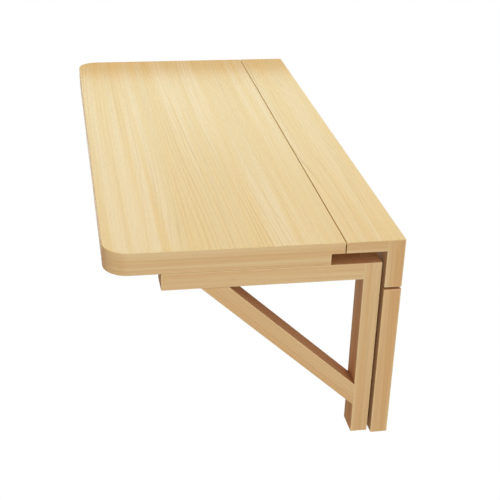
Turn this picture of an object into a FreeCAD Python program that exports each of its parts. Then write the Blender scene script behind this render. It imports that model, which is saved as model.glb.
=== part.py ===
import FreeCAD, Part
import Sketcher
import os
import re

from FreeCAD import Placement, Rotation, Vector

# Wall mounted drop leaf table. The wall is the plane y = 0, the table reaches towards -Y,
# its length runs along X and the origin is the middle of the back rail's wall face.

# Driving sizes in millimetres
sizes = {
    # top
    "table_length": 1000,
    "table_depth": 479,
    "board_thickness": 19.5,
    "under_board_thickness": 19.5,
    "seam_depth": 98,
    "seam_gap": 1.5,
    "rebate_width": 23,
    "corner_radius": 40,
    "edge_round": 1.2,
    # wall frame
    "rail_height": 66,
    "rail_thickness": 29,
    "rail_gap": 4,
    "post_width": 45,
    "wall_post_depth": 29,
    "wall_post_length": 281,
    # gate brackets
    "bracket_post_depth": 29,
    "bracket_post_length": 326,
    "arm_height": 29,
    "arm_length": 326,
    "brace_thickness": 30,
    "brace_reach": 219,
    "brace_drop": 201,
    # butt hinges
    "hinge_gap": 7,
    "hinge_length": 60,
    "plate_width": 21,
    "plate_thickness": 2,
    "knuckle_radius": 3,
    "middle_knuckle_length": 20,
    "knuckle_clearance": 0.4,
    "pin_radius": 1.5,
    "pin_head_radius": 2.2,
    "pin_head_height": 1,
    "post_to_pin": 3.8,
    "leaf_hinge_spacing": 380,
    "upper_hinge_drop": 36,
    "lower_hinge_rise": 46,
    # hinge screws
    "screw_length": 16,
    "screw_radius": 1.5,
    "screw_head_radius": 2.9,
    "screw_head_height": 1.4,
    "screw_tip_length": 4,
    "screw_tip_radius": 0.3,
    "screw_spacing": 21,
    "screw_edge": 8.5,
    "recess_length": 3,
    "recess_width": 0.6,
    "recess_depth": 0.8,
    # dowels
    "dowel_radius": 4,
    "dowel_length": 28,
    "end_gap": 0.5,
    "dowel_spacing": 22,
    "shelf_dowel_spacing": 220,
    "shelf_dowel_margin": 50,
    # holes for the wall screws
    "wall_hole_radius": 3,
    "wall_head_radius": 6,
    "wall_head_depth": 3.5,
    "rail_hole_spacing": 280,
    "rail_hole_margin": 70,
    "post_hole_spacing": 90,
    # fits
    "fit": 0.05,
    "overrun": 1,
}

# Numbers of repeated pieces, and where the brace dowels sit in the mitred ends
post_hole_count = 2
screws_per_plate = 3
dowels_per_joint = 2
brace_dowel_share = 0.35

axis_x = Vector(1, 0, 0)
axis_y = Vector(0, 1, 0)
axis_z = Vector(0, 0, 1)

doc = FreeCAD.newDocument("WallTable")
sheet = doc.addObject("Spreadsheet::Sheet", "Sizes")
for row, (name, size) in enumerate(sizes.items(), 1):
    sheet.set(f"A{row}", name)
    sheet.set(f"B{row}", str(size))
    sheet.setAlias(f"B{row}", name)
doc.recompute()

# Levels and depths that several pieces share, as expressions of the sheet's sizes
shelf_under = "(rail_height / 2)"
table_top = "(rail_height / 2 + board_thickness)"
leaf_under = "(rail_height / 2 - under_board_thickness)"
arm_under = "(rail_height / 2 - under_board_thickness - arm_height)"
wall_post_top = "(-rail_height / 2 - rail_gap)"
wall_post_foot = "(-rail_height / 2 - rail_gap - wall_post_length)"
bracket_foot = "(rail_height / 2 - under_board_thickness - bracket_post_length)"
bracket_back = "(-wall_post_depth - hinge_gap)"
bracket_front = "(-wall_post_depth - hinge_gap - bracket_post_depth)"
brace_slope = "sqrt(brace_reach ^ 2 + brace_drop ^ 2)"
brace_arm_cut = f"(brace_thickness * {brace_slope} / brace_drop)"
brace_post_cut = f"(brace_thickness * {brace_slope} / brace_reach)"
pin_from_wall = "(-wall_post_depth - hinge_gap / 2)"
pin_from_end = "(table_length / 2 - post_width - post_to_pin)"
leaf_pin_level = "(rail_height / 2 - hinge_gap / 2)"

# The two ends of the table, and the post's width at each of them
ends = {"left": -1, "right": 1}
end_widths = {
    "left": ("-table_length / 2", "-table_length / 2 + post_width"),
    "right": ("table_length / 2 - post_width", "table_length / 2"),
}

sub_parts = []


def with_sheet(words):
    return re.sub(r"[a-z_]{3,}", lambda hit: f"Sizes.{hit[0]}" if hit[0] in sizes else hit[0], words)


def bind(item, setting, words):
    item.setExpression(setting, with_sheet(words))


def measure(words):
    return float(sheet.evalExpression(words))


def spaced(count, step):
    return [(number - (count - 1) / 2) * step for number in range(count)]


# Places in a row along the table: as many as fit between margins at its two ends
def along_table(spacing, margin):
    step = measure(spacing)
    room = measure(f"table_length - 2 * {margin}")
    return spaced(int(room / step) + 1, step)


def keep(item, label):
    item.Label = label
    sub_parts.append(item)
    return item


def block(name, xs, ys, zs):
    item = doc.addObject("Part::Box", f"{name}_block")
    for side, axis, (low, high) in zip(("Length", "Width", "Height"), "xyz", (xs, ys, zs)):
        bind(item, side, f"({high}) - ({low})")
        bind(item, f"Placement.Base.{axis}", low)
    return item


def in_plane(edge, axis, words):
    place = measure(words)
    return all(abs(getattr(point, axis) - place) < measure("fit") for point in edge.discretize(3))


def rounded(name, base, radius, wanted):
    doc.recompute()
    item = doc.addObject("Part::Fillet", name)
    item.Base = base
    size = measure(radius)
    item.Edges = [(spot, size, size) for spot, edge in enumerate(base.Shape.Edges, 1) if wanted(edge)]
    return item


def eased(name, base, sharp_planes):
    def is_open(edge):
        return not any(in_plane(edge, axis, words) for axis, words in sharp_planes)

    return rounded(f"{name}_eased", base, "edge_round", is_open)


def shape_object(name, shapes):
    item = doc.addObject("Part::Feature", name)
    item.Shape = Part.makeCompound(shapes)
    return item


def drilled(label, base, holes):
    item = doc.addObject("Part::Cut", f"{label}_drilled")
    item.Base = base
    item.Tool = shape_object(f"{label}_holes", holes)
    return keep(item, label)


def group(label, shapes):
    return keep(shape_object(f"{label}_group", shapes), label)


# Dowels lie across a joint face: half in each board, in holes a little deeper than the dowel
def dowel(middle, direction):
    length = measure("dowel_length")
    start = middle - direction * (length / 2)
    return Part.makeCylinder(measure("dowel_radius"), length, start, direction)


def dowel_hole(middle, direction):
    length = measure("dowel_length + 2 * end_gap")
    start = middle - direction * (length / 2)
    return Part.makeCylinder(measure("dowel_radius + fit"), length, start, direction)


# A hole for a wall screw, countersunk on the room side
def wall_hole(x, z, depth_words):
    depth = measure(depth_words)
    overrun = measure("overrun")
    shank = Part.makeCylinder(
        measure("wall_hole_radius"), depth + 2 * overrun, Vector(x, overrun, z), -axis_y
    )
    sink = Part.makeCone(
        measure("wall_hole_radius"),
        measure("wall_head_radius"),
        measure("wall_head_depth"),
        Vector(x, measure("wall_head_depth") - depth, z),
        -axis_y,
    )
    return shank.fuse(sink)


# A countersunk wood screw along +Z, its head's face at zero
def hinge_screw():
    head = Part.makeCone(
        measure("screw_head_radius"), measure("screw_radius"), measure("screw_head_height")
    )
    shank_length = measure("screw_length - screw_head_height - screw_tip_length")
    shank = Part.makeCylinder(
        measure("screw_radius"), shank_length, axis_z * measure("screw_head_height")
    )
    tip = Part.makeCone(
        measure("screw_radius"),
        measure("screw_tip_radius"),
        measure("screw_tip_length"),
        axis_z * measure("screw_length - screw_tip_length"),
    )
    screw = head.fuse([shank, tip]).removeSplitter()
    long_side = measure("recess_length")
    short_side = measure("recess_width")
    depth = measure("recess_depth + overrun")
    corner = Vector(-long_side / 2, -short_side / 2, -measure("overrun"))
    slot = Part.makeBox(long_side, short_side, depth, corner)
    crossing = slot.copy()
    crossing.rotate(Vector(), axis_z, 90)
    return screw.cut([slot, crossing])


def pilot_hole():
    return Part.makeCylinder(
        measure("screw_radius + fit"), measure("screw_length + end_gap")
    )


# The hole of a plate for one screw, along +Z from the plate's open face
def plate_hole():
    overrun = measure("overrun")
    sink = Part.makeCone(
        measure("screw_head_radius + fit"),
        measure("screw_radius + fit"),
        measure("screw_head_height"),
    )
    shank = Part.makeCylinder(
        measure("screw_radius + fit"), measure("plate_thickness") + 2 * overrun, -axis_z * overrun
    )
    return sink.fuse(shank)


# Where the screws of a plate sit in the plate's own frame: heads on the open face, tips to +Y
def screw_places():
    across = measure("plate_width - screw_edge")
    face = measure("hinge_gap / 2 - plate_thickness")
    turn = Rotation(axis_x, -90)
    return [
        Placement(Vector(across, face, along), turn)
        for along in spaced(screws_per_plate, measure("screw_spacing"))
    ]


def placed(shape, place):
    copy = shape.copy()
    copy.Placement = place
    return copy


# Half a butt hinge in its own frame: the pin is the Z axis, the plate reaches to +X and
# lies against the wood on its +Y side. One half has the two outer knuckles, the other the middle one.
def hinge_half(label, has_outer_knuckles, turn, place):
    plate = block(
        label,
        ("0", "plate_width"),
        ("hinge_gap / 2 - plate_thickness", "hinge_gap / 2"),
        ("-hinge_length / 2", "hinge_length / 2"),
    )
    middle_edge = "(middle_knuckle_length / 2 - knuckle_clearance / 2)"
    outer_edge = "(middle_knuckle_length / 2 + knuckle_clearance / 2)"
    outer_spans = [(outer_edge, "hinge_length / 2"), ("-hinge_length / 2", f"-{outer_edge}")]
    middle_spans = [(f"-{middle_edge}", middle_edge)]
    knuckle_spans = outer_spans if has_outer_knuckles else middle_spans
    if has_outer_knuckles:
        notch_spans = [(f"-{outer_edge}", outer_edge)]
    else:
        notch_spans = [
            (middle_edge, "hinge_length / 2 + overrun"),
            ("-hinge_length / 2 - overrun", f"-{middle_edge}"),
        ]
    knuckles = []
    for low, high in knuckle_spans:
        knuckle = doc.addObject("Part::Cylinder", f"{label}_knuckle")
        bind(knuckle, "Radius", "knuckle_radius")
        bind(knuckle, "Height", f"({high}) - ({low})")
        bind(knuckle, "Placement.Base.z", low)
        knuckles.append(knuckle)
    whole = doc.addObject("Part::MultiFuse", f"{label}_whole")
    whole.Shapes = [plate, *knuckles]
    bore = doc.addObject("Part::Cylinder", f"{label}_bore")
    bind(bore, "Radius", "pin_radius + fit")
    bind(bore, "Height", "hinge_length + 2 * overrun")
    bind(bore, "Placement.Base.z", "-hinge_length / 2 - overrun")
    notches = [
        block(
            f"{label}_notch",
            ("-overrun", "knuckle_radius + knuckle_clearance"),
            ("0", "hinge_gap / 2 + overrun"),
            span,
        )
        for span in notch_spans
    ]
    holes = shape_object(f"{label}_holes", [placed(plate_hole(), spot) for spot in screw_places()])
    cuts = doc.addObject("Part::MultiFuse", f"{label}_cuts")
    cuts.Shapes = [bore, *notches, holes]
    item = doc.addObject("Part::Cut", f"{label}_half")
    item.Base = whole
    item.Tool = cuts
    item.Placement = Placement(Vector(), turn)
    for axis, words in zip("xyz", place):
        bind(item, f"Placement.Base.{axis}", words)
    return keep(item, label)


# A hinge pin along Z about its own middle, with a flat head past each end of the barrel
def hinge_pin():
    half = measure("hinge_length / 2 + fit")
    head = measure("pin_head_height")
    shaft = Part.makeCylinder(measure("pin_radius"), 2 * half, -axis_z * half)
    upper = Part.makeCylinder(measure("pin_head_radius"), head, axis_z * half)
    lower = Part.makeCylinder(measure("pin_head_radius"), head, -axis_z * (half + head))
    return shaft.fuse([upper, lower]).removeSplitter()


def screws_in(plates):
    screw = hinge_screw()
    return [placed(screw, plate.Placement * spot) for plate in plates for spot in screw_places()]


def pilots_for(plates):
    pilot = pilot_hole()
    return [placed(pilot, plate.Placement * spot) for plate in plates for spot in screw_places()]


# Turns that stand a hinge half on its wood: columns are where its X, Y and Z axes point
def turn_to(plate_side, wood_side):
    pin_side = plate_side.cross(wood_side)
    return Rotation(plate_side, wood_side, pin_side, "XYZ")


# Seam hinges: their pins lie under the seam, and they are open flat while the leaf is up
shelf_plates = {}
leaf_plates = {}
for spot, name in enumerate(("left", "middle", "right"), -1):
    place = (f"{spot} * leaf_hinge_spacing", "-seam_depth", leaf_pin_level)
    shelf_plates[name] = hinge_half(f"{name}_shelf_plate", True, turn_to(axis_y, axis_z), place)
    leaf_plates[name] = hinge_half(f"{name}_leaf_plate", False, turn_to(-axis_y, axis_z), place)

# Bracket hinges: they are closed between the two posts while the bracket stands square to the wall
hinge_levels = {
    "upper": f"{wall_post_top} - upper_hinge_drop",
    "lower": f"{wall_post_foot} + lower_hinge_rise",
}
wall_plates = {}
bracket_plates = {}
for end, sign in ends.items():
    outward = axis_x * sign
    wall_plates[end] = []
    bracket_plates[end] = []
    for level_name, level in hinge_levels.items():
        place = (f"{sign} * {pin_from_end}", pin_from_wall, level)
        names = f"{end}_{level_name}"
        wall_turn = turn_to(outward, axis_y)
        bracket_turn = turn_to(outward, -axis_y)
        wall_plates[end].append(hinge_half(f"{names}_wall_plate", True, wall_turn, place))
        bracket_plates[end].append(hinge_half(f"{names}_bracket_plate", False, bracket_turn, place))
doc.recompute()

all_wall_plates = wall_plates["left"] + wall_plates["right"]
pin = hinge_pin()
group("leaf_hinge_pins", [placed(pin, plate.Placement) for plate in shelf_plates.values()])
group("bracket_hinge_pins", [placed(pin, plate.Placement) for plate in all_wall_plates])
group("shelf_plate_screws", screws_in(shelf_plates.values()))
group("leaf_plate_screws", screws_in(leaf_plates.values()))
group("wall_plate_screws", screws_in(all_wall_plates))
for end in ends:
    group(f"{end}_bracket_screws", screws_in(bracket_plates[end]))

# Fixed shelf and back rail, joined by upright dowels
table_span = ("-table_length / 2", "table_length / 2")
dowel_depth = measure("-rail_thickness / 2")
shelf_dowel_spots = [
    Vector(x, dowel_depth, measure(shelf_under))
    for x in along_table("shelf_dowel_spacing", "shelf_dowel_margin")
]
shelf_dowel_holes = [dowel_hole(spot, axis_z) for spot in shelf_dowel_spots]
group("shelf_dowels", [dowel(spot, axis_z) for spot in shelf_dowel_spots])

shelf_block = block(
    "fixed_shelf", table_span, ("-seam_depth + seam_gap / 2", "0"), (shelf_under, table_top)
)
shelf_eased = eased("fixed_shelf", shelf_block, [("y", "0"), ("z", shelf_under)])
drilled("fixed_shelf", shelf_eased, shelf_dowel_holes + pilots_for(shelf_plates.values()))

rail_block = block(
    "back_rail", table_span, ("-rail_thickness", "0"), ("-rail_height / 2", shelf_under)
)
rail_eased = eased("back_rail", rail_block, [("y", "0"), ("z", shelf_under)])
rail_holes = [
    wall_hole(x, 0, "rail_thickness")
    for x in along_table("rail_hole_spacing", "rail_hole_margin")
]
drilled("back_rail", rail_eased, shelf_dowel_holes + rail_holes)

# Wall posts, each with a line of wall screw holes between its two hinges
post_middle_level = measure(f"({wall_post_top} + {wall_post_foot}) / 2")
for end, sign in ends.items():
    label = f"{end}_wall_post"
    post_middle = sign * measure("(table_length - post_width) / 2")
    post_block = block(
        label, end_widths[end], ("-wall_post_depth", "0"), (wall_post_foot, wall_post_top)
    )
    post_eased = eased(label, post_block, [("y", "0")])
    holes = [
        wall_hole(post_middle, post_middle_level + up, "wall_post_depth")
        for up in spaced(post_hole_count, measure("post_hole_spacing"))
    ]
    drilled(label, post_eased, holes + pilots_for(wall_plates[end]))


# Drop leaf: two layers with the same rounded front corners, the lower one set back from the seam
def leaf_board(label, back, level_range, sharp_level, holes):
    def is_front_corner(edge):
        return in_plane(edge, "y", "-table_depth") and not in_plane(edge, "z", sharp_level) and (
            abs(edge.tangentAt(edge.FirstParameter).z) > measure("fit")
        )

    base = block(label, table_span, ("-table_depth", back), level_range)
    shaped = rounded(f"{label}_corners", base, "corner_radius", is_front_corner)
    open_level = next(level for level in level_range if level != sharp_level)
    soft = rounded(
        f"{label}_eased", shaped, "edge_round", lambda edge: in_plane(edge, "z", open_level)
    )
    if holes:
        return drilled(label, soft, holes)
    return keep(soft, label)


leaf_board(
    "leaf_top_board",
    "-seam_depth - seam_gap / 2",
    (shelf_under, table_top),
    shelf_under,
    pilots_for(leaf_plates.values()),
)
leaf_board(
    "leaf_under_board", "-seam_depth - rebate_width", (leaf_under, shelf_under), shelf_under, []
)


# Brace: a bar with mitred ends between the arm's underside and the post's front
def brace_bar(label, width):
    body = doc.addObject("PartDesign::Body", label)
    sketch = body.newObject("Sketcher::SketchObject", f"{label}_outline")
    plane = next(item for item in body.Origin.OriginFeatures if item.Role == "YZ_Plane")
    sketch.AttachmentSupport = [(plane, "")]
    sketch.MapMode = "FlatFace"
    corners = [
        (f"{bracket_front} - brace_reach", arm_under),
        (f"{bracket_front} - brace_reach - {brace_arm_cut}", arm_under),
        (bracket_front, f"{arm_under} - brace_drop - {brace_post_cut}"),
        (bracket_front, f"{arm_under} - brace_drop"),
    ]
    points = [Vector(measure(y), measure(z), 0) for y, z in corners]
    for spot, point in enumerate(points):
        following = points[(spot + 1) % len(points)]
        sketch.addGeometry(Part.LineSegment(point, following))
    for spot in range(len(points)):
        following = (spot + 1) % len(points)
        sketch.addConstraint(Sketcher.Constraint("Coincident", spot, 2, following, 1))
    for spot, (y, z) in enumerate(corners):
        for kind, words in (("DistanceX", y), ("DistanceY", z)):
            rule = Sketcher.Constraint(kind, -1, 1, spot, 1, measure(words))
            number = sketch.addConstraint(rule)
            bind(sketch, f"Constraints[{number}]", words)
    pad = body.newObject("PartDesign::Pad", f"{label}_pad")
    pad.Profile = sketch
    bind(pad, "Length", "post_width")
    bind(body, "Placement.Base.x", width[0])
    return body


# Gate brackets: post, arm butted on the post's front, and brace, held by dowels in each joint
for end, sign in ends.items():
    width = end_widths[end]
    middle = sign * measure("(table_length - post_width) / 2")
    sides = [middle + side for side in spaced(dowels_per_joint, measure("dowel_spacing"))]
    front = measure(bracket_front)
    arm_middle = measure(f"{arm_under} + arm_height / 2")
    brace_on_arm = measure(f"{bracket_front} - brace_reach - {brace_dowel_share} * {brace_arm_cut}")
    brace_on_post = measure(f"{arm_under} - brace_drop - {brace_dowel_share} * {brace_post_cut}")
    joints = {
        "arm_post": [(Vector(x, front, arm_middle), axis_y) for x in sides],
        "brace_arm": [(Vector(x, brace_on_arm, measure(arm_under)), axis_z) for x in sides],
        "brace_post": [(Vector(x, front, brace_on_post), axis_y) for x in sides],
    }
    holes = {name: [dowel_hole(*spot) for spot in spots] for name, spots in joints.items()}
    group(f"{end}_bracket_dowels", [dowel(*spot) for spots in joints.values() for spot in spots])

    post = f"{end}_bracket_post"
    post_block = block(post, width, (bracket_front, bracket_back), (bracket_foot, leaf_under))
    post_holes = holes["arm_post"] + holes["brace_post"] + pilots_for(bracket_plates[end])
    drilled(post, eased(post, post_block, []), post_holes)

    arm = f"{end}_bracket_arm"
    arm_reach = (f"{bracket_front} - arm_length", bracket_front)
    arm_block = block(arm, width, arm_reach, (arm_under, leaf_under))
    arm_eased = eased(arm, arm_block, [("y", bracket_front)])
    drilled(arm, arm_eased, holes["arm_post"] + holes["brace_arm"])

    brace = f"{end}_bracket_brace"
    sharp_ends = [("y", bracket_front), ("z", arm_under)]
    brace_eased = eased(brace, brace_bar(f"{brace}_bar", width), sharp_ends)
    drilled(brace, brace_eased, holes["brace_arm"] + holes["brace_post"])

doc.recompute()

# Nothing is written unless every object and every sub-part is sound
for item in doc.Objects:
    if "Invalid" in item.State or "Error" in item.State:
        raise RuntimeError(f"{item.Label} did not build: {item.State}")
for item in sub_parts:
    if item.Shape.isNull() or not item.Shape.isValid() or not item.Shape.Solids:
        raise RuntimeError(f"{item.Label} has no sound solid")

os.makedirs("parts", exist_ok=True)
for item in sub_parts:
    item.Shape.exportStep(f"parts/{item.Label}.step")
    print(f"{item.Label}: {len(item.Shape.Solids)} solids, {item.Shape.Volume:.0f} mm3")
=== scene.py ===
import bpy
import math
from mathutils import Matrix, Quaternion, Vector


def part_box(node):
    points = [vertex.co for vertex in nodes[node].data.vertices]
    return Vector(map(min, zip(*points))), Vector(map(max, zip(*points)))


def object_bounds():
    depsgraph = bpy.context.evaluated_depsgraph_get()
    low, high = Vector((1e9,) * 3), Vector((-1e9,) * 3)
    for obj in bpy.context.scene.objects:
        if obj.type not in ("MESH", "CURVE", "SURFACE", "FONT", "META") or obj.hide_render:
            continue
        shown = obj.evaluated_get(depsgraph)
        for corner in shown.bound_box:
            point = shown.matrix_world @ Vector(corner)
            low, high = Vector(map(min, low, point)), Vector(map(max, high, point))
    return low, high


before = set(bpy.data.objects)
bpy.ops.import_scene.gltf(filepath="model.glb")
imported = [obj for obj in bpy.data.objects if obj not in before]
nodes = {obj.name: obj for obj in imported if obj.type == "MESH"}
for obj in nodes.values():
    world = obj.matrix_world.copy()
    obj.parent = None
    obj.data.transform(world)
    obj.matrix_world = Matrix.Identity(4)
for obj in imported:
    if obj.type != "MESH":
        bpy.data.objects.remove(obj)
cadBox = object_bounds()
scene = bpy.context.scene
bpy.ops.object.select_all(action="DESELECT")
print("frame loaded:", len(nodes), "pieces")


# colours are picked as screen values from 0 to 255
def paint(red, green, blue):
    linear = []
    for value in (red, green, blue):
        share = value / 255
        linear.append(share / 12.92 if share <= 0.04045 else ((share + 0.055) / 1.055) ** 2.4)
    return (*linear, 1.0)


# small helpers for wiring nodes: a value is either a socket or a plain number
def wire(tree, value, socket):
    if isinstance(value, bpy.types.NodeSocket):
        tree.links.new(value, socket)
    else:
        socket.default_value = value


def calc(tree, operation, *values):
    node = tree.nodes.new("ShaderNodeMath")
    node.operation = operation
    for value, socket in zip(values, node.inputs):
        wire(tree, value, socket)
    return node.outputs[0]


def vecCalc(tree, operation, *values):
    node = tree.nodes.new("ShaderNodeVectorMath")
    node.operation = operation
    for value, socket in zip(values, node.inputs):
        wire(tree, value, socket)
    return node.outputs["Value"] if operation == "DOT_PRODUCT" else node.outputs["Vector"]


def combine(tree, x, y, z):
    node = tree.nodes.new("ShaderNodeCombineXYZ")
    for value, socket in zip((x, y, z), node.inputs):
        wire(tree, value, socket)
    return node.outputs[0]


def separate(tree, vector):
    node = tree.nodes.new("ShaderNodeSeparateXYZ")
    wire(tree, vector, node.inputs[0])
    return node.outputs


def remap(tree, value, fromLow, fromHigh, toLow, toHigh, smooth=False):
    node = tree.nodes.new("ShaderNodeMapRange")
    node.interpolation_type = "SMOOTHSTEP" if smooth else "LINEAR"
    for part, socket in zip((value, fromLow, fromHigh, toLow, toHigh), node.inputs):
        wire(tree, part, socket)
    return node.outputs[0]


def noise(tree, vector, stretch, detail=2.0):
    node = tree.nodes.new("ShaderNodeTexNoise")
    node.inputs["Scale"].default_value = 1.0
    node.inputs["Detail"].default_value = detail
    wire(tree, vecCalc(tree, "MULTIPLY", vector, stretch), node.inputs["Vector"])
    return node.outputs["Fac"]


def blend(tree, kind, amount, first, second):
    node = tree.nodes.new("ShaderNodeMix")
    node.data_type = kind
    wire(tree, amount, node.inputs["Factor"])
    wire(tree, first, node.inputs["A"])
    wire(tree, second, node.inputs["B"])
    return node.outputs["Result"]


def blendColour(tree, amount, first, second):
    return blend(tree, "RGBA", amount, first, second)


def blendVector(tree, amount, first, second):
    return blend(tree, "VECTOR", amount, first, second)


def newGroup(name, inputs, outputs):
    group = bpy.data.node_groups.new(name, "ShaderNodeTree")
    for title, kind in inputs:
        group.interface.new_socket(name=title, in_out="INPUT", socket_type=kind)
    for title in outputs:
        group.interface.new_socket(name=title, in_out="OUTPUT", socket_type="NodeSocketFloat")
    start = group.nodes.new("NodeGroupInput").outputs
    end = group.nodes.new("NodeGroupOutput").inputs
    return group, start, end


def useGroup(tree, group, values):
    node = tree.nodes.new("ShaderNodeGroup")
    node.node_tree = group
    for title, value in values.items():
        wire(tree, value, node.inputs[title])
    return node.outputs


# growth lines, tone bands, streaks, fibres and pores, for a place whose X runs along the grain
# three numbers are a pattern's fineness along, across and through the grain; two are a range
grainPattern = {
    "figure": (1.3, 7, 7),            # broad waves that all lines follow
    "wobble": (1.6, 55, 55),          # small wanderings of each line
    "wobbleLines": 1.3,               # how far a line wanders, in line spacings
    "lateWood": (0.68, 0.94),         # the share of a year where its dark line starts and is darkest
    "yearStrength": (0.15, 1.4),      # each year's line has its own strength
    "patches": (1.2, 14, 14),         # and lines fade in patches
    "patchEnds": (0.36, 0.64),
    "patchStrength": (0.15, 1.1),
    "bandsAlong": 0.8,
    "bandEnds": (0.34, 0.66),
    "cloudAlong": 1.0,
    "cloudShare": 0.275,              # the cloud's fineness as a share of the bands'
    "cloudEnds": (0.36, 0.64),
    "streaks": (2.2, 170, 170),
    "streakEnds": (0.5, 0.75),
    "fibre": (14, 900, 900),
    "fibreEnds": (0.3, 0.75),
    "pores": (45, 1100, 1100),
    "poreEnds": (0.64, 0.74),
}


def makeGrainFigure(pattern):
    inputs = [
        ("Place", "NodeSocketVector"),
        ("Line Spacing", "NodeSocketFloat"),
        ("Waviness", "NodeSocketFloat"),
        ("Band Scale", "NodeSocketFloat"),
    ]
    outputs = ["Lines", "Bands", "Cloud", "Streaks", "Fibre", "Pores"]
    group, start, end = newGroup("grainFigure", inputs, outputs)
    place = start["Place"]
    across = separate(group, place)["Y"]
    figure = calc(group, "SUBTRACT", noise(group, place, pattern["figure"], detail=0.0), 0.5)
    wobble = calc(group, "SUBTRACT", noise(group, place, pattern["wobble"]), 0.5)
    count = calc(group, "DIVIDE", across, start["Line Spacing"])
    count = calc(group, "MULTIPLY_ADD", figure, start["Waviness"], count)
    count = calc(group, "MULTIPLY_ADD", wobble, pattern["wobbleLines"], count)
    ring = calc(group, "FRACT", count)
    rise = remap(group, ring, *pattern["lateWood"], 0, 1, smooth=True)    # slow into the dark late wood
    drop = remap(group, ring, pattern["lateWood"][1], 1, 1, 0)            # and quickly out of it
    lines = calc(group, "MULTIPLY", rise, drop)
    year = group.nodes.new("ShaderNodeTexWhiteNoise")
    year.noise_dimensions = "1D"
    wire(group, calc(group, "FLOOR", count), year.inputs["W"])
    yearStrength = remap(group, year.outputs["Value"], 0, 1, *pattern["yearStrength"])
    lines = calc(group, "MULTIPLY", lines, yearStrength)
    patches = noise(group, place, pattern["patches"])
    patchStrength = remap(group, patches, *pattern["patchEnds"], *pattern["patchStrength"], smooth=True)
    lines = calc(group, "MULTIPLY", lines, patchStrength)
    wire(group, lines, end["Lines"])
    bandScale = start["Band Scale"]
    bandStretch = combine(group, pattern["bandsAlong"], bandScale, bandScale)
    bands = noise(group, place, bandStretch, detail=3.0)
    wire(group, remap(group, bands, *pattern["bandEnds"], 0, 1, smooth=True), end["Bands"])
    cloudScale = calc(group, "MULTIPLY", bandScale, pattern["cloudShare"])
    cloudStretch = combine(group, pattern["cloudAlong"], cloudScale, cloudScale)
    cloud = noise(group, place, cloudStretch, detail=0.0)
    wire(group, remap(group, cloud, *pattern["cloudEnds"], 0, 1, smooth=True), end["Cloud"])
    streaks = noise(group, place, pattern["streaks"], detail=3.0)
    wire(group, remap(group, streaks, *pattern["streakEnds"], 0, 1), end["Streaks"])
    wire(group, noise(group, place, pattern["fibre"]), end["Fibre"])
    pores = noise(group, place, pattern["pores"], detail=1.0)
    wire(group, remap(group, pores, *pattern["poreEnds"], 0, 1), end["Pores"])
    return group


# rubbed edges: how close a point is to the nearest edge of the piece's own block
edgePattern = {"patches": (60, 60, 60), "patchEnds": (0.3, 0.7), "reach": (0.5, 1.3)}


def makeEdgeRub(pattern):
    inputs = [
        ("Place", "NodeSocketVector"),
        ("Low", "NodeSocketVector"),
        ("High", "NodeSocketVector"),
        ("Width", "NodeSocketFloat"),
    ]
    group, start, end = newGroup("edgeRub", inputs, ["Edge"])
    fromLow = vecCalc(group, "SUBTRACT", start["Place"], start["Low"])
    fromHigh = vecCalc(group, "SUBTRACT", start["High"], start["Place"])
    x, y, z = separate(group, vecCalc(group, "MINIMUM", fromLow, fromHigh))
    nearer = calc(group, "MINIMUM", x, y)
    further = calc(group, "MAXIMUM", x, y)
    distance = calc(group, "MAXIMUM", nearer, calc(group, "MINIMUM", further, z))
    patches = noise(group, start["Place"], pattern["patches"])
    uneven = remap(group, patches, *pattern["patchEnds"], *pattern["reach"])
    reach = calc(group, "MULTIPLY", start["Width"], uneven)
    wire(group, remap(group, distance, 0, reach, 1, 0, smooth=True), end["Edge"])
    return group


grainFigure = makeGrainFigure(grainPattern)
edgeRub = makeEdgeRub(edgePattern)
print("grain and edge wear made")


def newMaterial(name):
    material = bpy.data.materials.new(name)
    material.use_nodes = True
    tree = material.node_tree
    return material, tree, tree.nodes["Principled BSDF"].inputs


def bareMaterial(name):
    material = bpy.data.materials.new(name)
    material.use_nodes = True
    tree = material.node_tree
    tree.nodes.clear()
    return material, tree, tree.nodes.new("ShaderNodeOutputMaterial").inputs["Surface"]


def dress(name, material):
    slots = nodes[name].data.materials
    slots.clear()
    slots.append(material)


# lowest and highest corner of the piece's own block, measured along three directions
def blockAlong(name, directions):
    points = [vertex.co for vertex in nodes[name].data.vertices]
    spans = [[point.dot(direction) for point in points] for direction in directions]
    return Vector(map(min, spans)), Vector(map(max, spans))


# lacquered pine: a paler copy on top, which is painted light, tan on the boards' other faces, a little
# greyer on the battens
paintedLightPine = {
    "tone": paint(235, 212, 149),
    "warm": paint(238, 209, 135),
    "green": paint(243, 224, 174),
    "line": paint(195, 158, 64),
}
tanPine = {
    "tone": paint(224, 183, 135),
    "warm": paint(214, 162, 110),
    "green": paint(225, 187, 140),
    "line": paint(180, 130, 86),
}
battenPine = {
    "tone": paint(225, 185, 142),
    "warm": paint(215, 164, 117),
    "green": paint(228, 195, 155),
    "line": paint(182, 133, 92),
}
lacquer = {
    "edgeLight": paint(246, 224, 180),
    "edgeWidth": 0.003,
    "edgeShare": 0.3,
    "topRoughness": 0.2,
    "sideRoughness": 0.42,
    "roughnessSpread": 0.14,
    "gloss": 0.5,
    "battenGloss": 0.06,
    "bump": 0.08,
    "bumpHeight": 0.0006,
    "lineDepth": 0.5,
    "poreDepth": 0.6,
}
boardGrain = {
    "spacing": 0.0075,
    "waviness": 13.0,
    "bandScale": 58.0,
    "shares": {"Lines": 0.52, "Streaks": 0.19, "Pores": 0.3},
    "fibre": 0.11,
}
battenGrain = {
    "spacing": 0.0075,
    "waviness": 9.0,
    "bandScale": 40.0,
    "shares": {"Lines": 0.48, "Streaks": 0.24, "Pores": 0.3},
    "fibre": 0.14,
}


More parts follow.
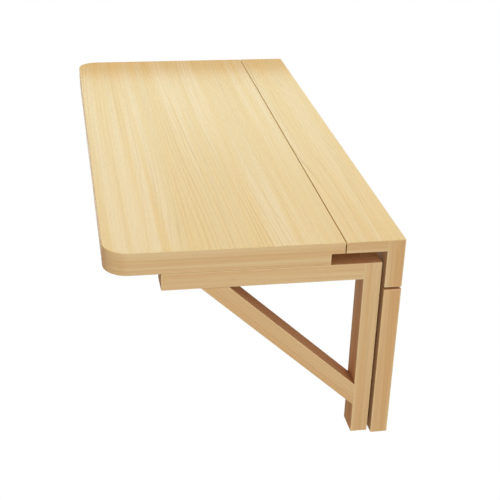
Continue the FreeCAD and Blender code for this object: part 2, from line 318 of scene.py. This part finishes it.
def layPine(tree, shader, pine, roughness, place, blockPlace, block, grain):
    settings = {
        "Place": place,
        "Line Spacing": grain["spacing"],
        "Waviness": grain["waviness"],
        "Band Scale": grain["bandScale"],
    }
    figure = useGroup(tree, grainFigure, settings)
    low, high = block
    rub = {"Place": blockPlace, "Low": low, "High": high, "Width": lacquer["edgeWidth"]}
    edge = useGroup(tree, edgeRub, rub)["Edge"]
    colour = blendColour(tree, figure["Cloud"], pine["tone"], pine["green"])
    colour = blendColour(tree, figure["Bands"], colour, pine["warm"])
    for part, share in grain["shares"].items():
        colour = blendColour(tree, calc(tree, "MULTIPLY", figure[part], share), colour, pine["line"])
    fibre = remap(tree, figure["Fibre"], *grainPattern["fibreEnds"], 0, grain["fibre"])
    colour = blendColour(tree, fibre, colour, pine["line"])
    worn = calc(tree, "MULTIPLY", edge, lacquer["edgeShare"])
    colour = blendColour(tree, worn, colour, lacquer["edgeLight"])
    wire(tree, colour, shader["Base Color"])
    uneven = calc(tree, "MULTIPLY_ADD", figure["Fibre"], lacquer["roughnessSpread"], roughness)
    wire(tree, uneven, shader["Roughness"])
    bump = tree.nodes.new("ShaderNodeBump")
    bump.inputs["Strength"].default_value = lacquer["bump"]
    bump.inputs["Distance"].default_value = lacquer["bumpHeight"]
    lineDepth = calc(tree, "MULTIPLY", figure["Lines"], lacquer["lineDepth"])
    poreDepth = calc(tree, "MULTIPLY", figure["Pores"], lacquer["poreDepth"])
    height = calc(tree, "SUBTRACT", figure["Fibre"], lineDepth)
    height = calc(tree, "SUBTRACT", height, poreDepth)
    wire(tree, height, bump.inputs["Height"])
    wire(tree, bump.outputs[0], shader["Normal"])


# boards of the top: grain along X on the broad faces, streaks that run round the edges
boards = {
    "fixed_shelf": {
        "seed": 9.6,
        "seamSide": -1,
        "frontPaintedLight": 0.0,
        "joinedLow": (0, 1, 1),       # joined sides are moved away, so that no rubbed edge shows on a joint
        "joinedHigh": (0, 0, 0),
    },
    "leaf_top_board": {
        "seed": 12.6,
        "seamSide": 1,
        "frontPaintedLight": 0.33,             # painted light: the leaf's front edge is paler all over
        "joinedLow": (0, 0, 1),
        "joinedHigh": (0, 1, 0),
    },
    "leaf_under_board": {
        "seed": 12.6,
        "seamSide": 0,
        "frontPaintedLight": 0.33,
        "joinedLow": (0, 0, 0),
        "joinedHigh": (0, 0, 1),
    },
}
edgeStreaks = 3.0                     # streaks lie this much closer together on the edges
frontLightTurn = (-0.3, -1.0)              # the front's painted light fades round the corners
# the seam's faces: pale near the top as painted light, brown deeper down as painted shade, and rougher
seam = {"paintedShadeBrown": paint(160, 104, 58), "paintedLightDepth": 0.003, "paintedShadeDepth": 0.007, "roughness": 0.9}
faceTurn = 0.6                        # a face looks a way when its normal points there by this much
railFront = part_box("back_rail")[0].y
railStretch = battenGrain["bandScale"] / boardGrain["bandScale"]

for name, board in boards.items():
    material, tree, shader = newMaterial(f"pine_{name}")
    coordinates = tree.nodes.new("ShaderNodeTexCoord").outputs
    x, y, z = separate(tree, coordinates["Object"])
    normal = separate(tree, coordinates["Normal"])
    onTop = calc(tree, "GREATER_THAN", normal["Z"], faceTurn)
    isFlat = calc(tree, "GREATER_THAN", calc(tree, "ABSOLUTE", normal["Z"]), faceTurn)
    towardsSeam = calc(tree, "MULTIPLY", normal["Y"], board["seamSide"])
    inSeam = calc(tree, "GREATER_THAN", towardsSeam, faceTurn)
    # painted light: the top and the seam's faces take the paler, lit copy of the pine
    paintedLightFaces = calc(tree, "MAXIMUM", onTop, inSeam)
    flat = combine(tree, x, y, calc(tree, "ADD", z, board["seed"]))
    streak = combine(tree, calc(tree, "ADD", x, y), calc(tree, "MULTIPLY", z, edgeStreaks), board["seed"])
    if name == "fixed_shelf":         # over the rail, the rail's own streaks run on up the end
        overRail = calc(tree, "GREATER_THAN", y, railFront)
        upright = combine(tree, z, calc(tree, "MULTIPLY", y, railStretch), 0.0)
        streak = blendVector(tree, overRail, streak, upright)
    place = blendVector(tree, isFlat, streak, flat)
    low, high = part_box(name)
    block = (low - Vector(board["joinedLow"]), high + Vector(board["joinedHigh"]))
    pine = {shade: blendColour(tree, paintedLightFaces, tanPine[shade], paintedLightPine[shade]) for shade in paintedLightPine}
    # painted light: faces looking to the front are blended towards the pale edge colour
    paintedFrontLight = remap(tree, normal["Y"], *frontLightTurn, 0, board["frontPaintedLight"])
    pine = {shade: blendColour(tree, paintedFrontLight, pine[shade], lacquer["edgeLight"]) for shade in pine}
    # painted shade: the seam's faces turn brown below their pale top strip
    depth = remap(tree, z, high.z - seam["paintedShadeDepth"], high.z - seam["paintedLightDepth"], 1, 0)
    paintedSeamShade = calc(tree, "MULTIPLY", inSeam, depth)
    pine = {shade: blendColour(tree, paintedSeamShade, pine[shade], seam["paintedShadeBrown"]) for shade in pine}
    shader["Specular IOR Level"].default_value = lacquer["gloss"]
    roughness = remap(tree, onTop, 0, 1, lacquer["sideRoughness"], lacquer["topRoughness"])
    seamExtra = seam["roughness"] - lacquer["sideRoughness"]
    roughness = calc(tree, "MULTIPLY_ADD", inSeam, seamExtra, roughness)
    layPine(tree, shader, pine, roughness, place, coordinates["Object"], block, boardGrain)
    dress(name, material)
print("top boards finished")

# battens: solid grain along the piece's own length
braceLow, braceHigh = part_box("right_bracket_brace")
braceRun = Vector((0, braceLow.y - braceHigh.y, braceHigh.z - braceLow.z)).normalized()
# painted shade: the bracket posts and braces, which sit in the table's shade, take a warmer, darker tone
battenKinds = {
    "back_rail": {"along": Vector((1, 0, 0)), "across": Vector((0, 0, 1)), "shadeWarmth": 0.0},
    "wall_post": {"along": Vector((0, 0, 1)), "across": Vector((0, 1, 0)), "shadeWarmth": 0.0},
    "bracket_post": {"along": Vector((0, 0, 1)), "across": Vector((0, 1, 0)), "shadeWarmth": 0.42},
    "bracket_arm": {"along": Vector((0, 1, 0)), "across": Vector((0, 0, 1)), "shadeWarmth": 0.0},
    "bracket_brace": {"along": braceRun, "across": Vector((0, -braceRun.z, braceRun.y)), "shadeWarmth": 0.5},
}
ringSlant = 0.6                       # the year rings slant through the batten
seedStep = 1.79                       # each batten is cut from another place in the wood
jointAway = 1.0                       # moves a joined side off, as on the boards
battens = {"back_rail": "back_rail"}
for kind in ("wall_post", "bracket_post", "bracket_arm", "bracket_brace"):
    for end in ("left", "right"):
        battens[f"{end}_{kind}"] = kind

for number, (name, kind) in enumerate(battens.items()):
    batten = battenKinds[kind]
    material, tree, shader = newMaterial(f"pine_{name}")
    coordinates = tree.nodes.new("ShaderNodeTexCoord").outputs
    directions = [batten["along"], batten["across"], batten["along"].cross(batten["across"])]
    along, across, through = [
        vecCalc(tree, "DOT_PRODUCT", coordinates["Object"], direction) for direction in directions
    ]
    slanted = calc(tree, "MULTIPLY_ADD", through, ringSlant, across)
    place = combine(tree, along, slanted, calc(tree, "ADD", through, seedStep * number))
    low, high = blockAlong(name, directions)
    if kind == "back_rail":           # upright streaks on the rail's ends
        x, y, z = separate(tree, coordinates["Object"])
        facing = calc(tree, "ABSOLUTE", separate(tree, coordinates["Normal"])["X"])
        onEnd = calc(tree, "GREATER_THAN", facing, faceTurn)
        place = blendVector(tree, onEnd, place, combine(tree, z, y, 0.0))
        high.y += jointAway           # the shelf lies on the rail
    if kind == "bracket_arm":
        high.x += jointAway           # the arm butts on the post
    blockPlace = combine(tree, along, across, through)
    shader["Specular IOR Level"].default_value = lacquer["battenGloss"]
    # painted shade: the posts' and braces' tone and green shift towards the warm colour
    pine = dict(battenPine)
    for shade in ("tone", "green"):
        pine[shade] = Vector(battenPine[shade]).lerp(Vector(battenPine["warm"]), batten["shadeWarmth"])
    layPine(tree, shader, pine, lacquer["sideRoughness"], place, blockPlace, (low, high), battenGrain)
    dress(name, material)
print("battens finished")

# beech dowels: pinkish, with short dark flecks
beech = {
    "tone": paint(206, 168, 124),
    "fleck": paint(150, 98, 62),
    "flecks": (900, 900, 250),
    "fleckEnds": (0.56, 0.7),
    "fleckShare": 0.6,
    "cloud": (60, 60, 60),
    "cloudEnds": (0.3, 0.7),
    "cloudShare": 0.3,
    "roughness": (0.6, 0.75),
}
material, tree, shader = newMaterial("beechDowel")
place = tree.nodes.new("ShaderNodeTexCoord").outputs["Object"]
flecks = remap(tree, noise(tree, place, beech["flecks"]), *beech["fleckEnds"], 0, 1)
cloud = remap(tree, noise(tree, place, beech["cloud"]), *beech["cloudEnds"], 0, beech["cloudShare"])
flecked = calc(tree, "MULTIPLY", flecks, beech["fleckShare"])
colour = blendColour(tree, flecked, beech["tone"], beech["fleck"])
colour = blendColour(tree, cloud, colour, beech["fleck"])
wire(tree, colour, shader["Base Color"])
wire(tree, remap(tree, flecks, 0, 1, *beech["roughness"]), shader["Roughness"])
for name in ("shelf_dowels", "left_bracket_dowels", "right_bracket_dowels"):
    dress(name, material)

# plated steel: hinge plates brushed along the knuckle, screws and pins a little brighter
steels = {
    "hingeSteel": {
        "tone": paint(178, 170, 156),
        "dull": paint(138, 130, 117),
        "brush": (700, 60, 60),
        "pieces": ("plate",),
    },
    "screwSteel": {
        "tone": paint(200, 196, 186),
        "dull": paint(156, 151, 140),
        "brush": (420, 420, 420),
        "pieces": ("screws", "pins"),
    },
}
plating = {
    "cloud": (45, 45, 45),
    "cloudEnds": (0.35, 0.65),
    "brushEnds": (0.3, 0.7),
    "roughness": (0.24, 0.44),
    "bump": 0.12,
    "bumpHeight": 0.0002,
}
for title, steel in steels.items():
    material, tree, shader = newMaterial(title)
    place = tree.nodes.new("ShaderNodeTexCoord").outputs["Object"]
    brushed = noise(tree, place, steel["brush"])
    cloud = noise(tree, place, plating["cloud"], detail=3.0)
    cloud = remap(tree, cloud, *plating["cloudEnds"], 0, 1)
    wire(tree, blendColour(tree, cloud, steel["tone"], steel["dull"]), shader["Base Color"])
    shader["Metallic"].default_value = 1.0
    wire(tree, remap(tree, brushed, *plating["brushEnds"], *plating["roughness"]), shader["Roughness"])
    bump = tree.nodes.new("ShaderNodeBump")
    bump.inputs["Strength"].default_value = plating["bump"]
    bump.inputs["Distance"].default_value = plating["bumpHeight"]
    wire(tree, brushed, bump.inputs["Height"])
    wire(tree, bump.outputs[0], shader["Normal"])
    for name in nodes:
        if name.endswith(steel["pieces"]):
            dress(name, material)
print("dowels and hardware finished")

# floor: white to the camera, a pale soft surface to everything else, clear from below
floorSize = {"level": -0.7, "width": 14.0, "paleness": (0.36, 0.33, 0.29, 1.0)}
bpy.ops.mesh.primitive_plane_add(size=floorSize["width"], location=(0, 0, floorSize["level"]))
floor = bpy.context.object
floor.name = "floor"
material, tree, surface = bareMaterial("paleFloor")
pale = tree.nodes.new("ShaderNodeBsdfDiffuse")
pale.inputs["Color"].default_value = floorSize["paleness"]
whiteGlow = tree.nodes.new("ShaderNodeEmission")
clear = tree.nodes.new("ShaderNodeBsdfTransparent")
toCamera = tree.nodes.new("ShaderNodeMixShader")
fromBelow = tree.nodes.new("ShaderNodeMixShader")
tree.links.new(tree.nodes.new("ShaderNodeLightPath").outputs["Is Camera Ray"], toCamera.inputs[0])
tree.links.new(pale.outputs[0], toCamera.inputs[1])
tree.links.new(whiteGlow.outputs[0], toCamera.inputs[2])
tree.links.new(tree.nodes.new("ShaderNodeNewGeometry").outputs["Backfacing"], fromBelow.inputs[0])
tree.links.new(toCamera.outputs[0], fromBelow.inputs[1])
tree.links.new(clear.outputs[0], fromBelow.inputs[2])
tree.links.new(fromBelow.outputs[0], surface)
floor.data.materials.append(material)

# soft studio light: a warm surround, a wide panel overhead and one beyond the near end
surround = {"fill": 0.64, "colour": (1.0, 0.76, 0.63, 1.0)}
world = bpy.data.worlds.new("studio")
scene.world = world
world.use_nodes = True
tree = world.node_tree
background = tree.nodes["Background"]
seen = tree.nodes.new("ShaderNodeLightPath").outputs["Is Camera Ray"]
white = (1.0, 1.0, 1.0, 1.0)
wire(tree, blendColour(tree, seen, surround["colour"], white), background.inputs["Color"])
wire(tree, remap(tree, seen, 0, 1, surround["fill"], 1.0), background.inputs["Strength"])

panels = {
    "overheadPanel": {
        "place": (-0.6, -0.3, 2.2),
        "aim": (-0.1, -0.25, 0),
        "width": 2.4,
        "power": 17.8,
        "colour": (0.88, 1.01, 1.01),
    },
    "lowPanel": {
        "place": (2.4, -0.3, -0.1),
        "aim": (0.45, -0.25, -0.1),
        "width": 1.4,
        "power": 25.8,
        "colour": (0.67, 1.0, 1.02),
    },
}
for title, panel in panels.items():
    light = bpy.data.lights.new(title, "AREA")
    light.shape = "SQUARE"
    light.size = panel["width"]
    light.energy = panel["power"]
    light.color = panel["colour"]
    lamp = bpy.data.objects.new(title, light)
    scene.collection.objects.link(lamp)
    lamp.location = panel["place"]
    lamp.rotation_mode = "QUATERNION"
    lamp.rotation_quaternion = (Vector(panel["aim"]) - lamp.location).to_track_quat("-Z", "Y")
    lamp.visible_camera = False

# white cards that reflections alone see, both beyond the far end: an upright one gives the top its sheen,
# and its foot leaves a darker strip there; one that lies low gives the front edge its paler glint
tableLow, tableHigh = cadBox
cards = {
    "sheenCard": {
        "place": (tableLow.x - 0.03, (tableLow.y + tableHigh.y) / 2, tableHigh.z + 0.545),
        "size": (1.0, 1.479),
        "upright": True,
        "glow": 1.73,
        "colour": (0.85, 1.0, 0.9, 1.0),
    },
    "glintCard": {
        "place": (-2.1, -0.6, floorSize["level"] + 0.02),
        "size": (2.2, 1.6),
        "upright": False,
        "glow": 2.8,
        "colour": (0.92, 1.0, 0.85, 1.0),
    },
}
for title, card in cards.items():
    bpy.ops.mesh.primitive_plane_add(size=1, location=card["place"])
    whiteCard = bpy.context.object
    whiteCard.name = title
    whiteCard.scale = (*card["size"], 1)
    whiteCard.rotation_euler.y = math.pi / 2 if card["upright"] else 0
    material, tree, surface = bareMaterial(title)
    glow = tree.nodes.new("ShaderNodeEmission")
    glow.inputs["Color"].default_value = card["colour"]
    glow.inputs["Strength"].default_value = card["glow"]
    tree.links.new(glow.outputs[0], surface)
    whiteCard.data.materials.append(material)
    whiteCard.visible_camera = False
    whiteCard.visible_diffuse = False
    whiteCard.visible_shadow = False
print("floor and lights set")

# camera at the photograph's view: turn and tilt in degrees, lens for a 36 mm wide square frame
viewpoint = {
    "place": (1.9773, -0.5396, 0.7947),
    "turn": 79.0,
    "tilt": -26.39,
    "roll": 1.99,
    "lens": 78.02,
    "frameWidth": 36,
}
turn = math.radians(viewpoint["turn"])
tilt = math.radians(viewpoint["tilt"])
ahead = Vector((-math.sin(turn) * math.cos(tilt), math.cos(turn) * math.cos(tilt), math.sin(tilt)))
lens = bpy.data.cameras.new("camera")
lens.lens = viewpoint["lens"]
lens.sensor_width = viewpoint["frameWidth"]
camera = bpy.data.objects.new("camera", lens)
scene.collection.objects.link(camera)
camera.location = viewpoint["place"]
camera.rotation_mode = "QUATERNION"
roll = Quaternion((0, 0, 1), math.radians(viewpoint["roll"]))
camera.rotation_quaternion = ahead.to_track_quat("-Z", "Y") @ roll
scene.camera = camera
scene.view_settings.view_transform = "Standard"
print("camera set")
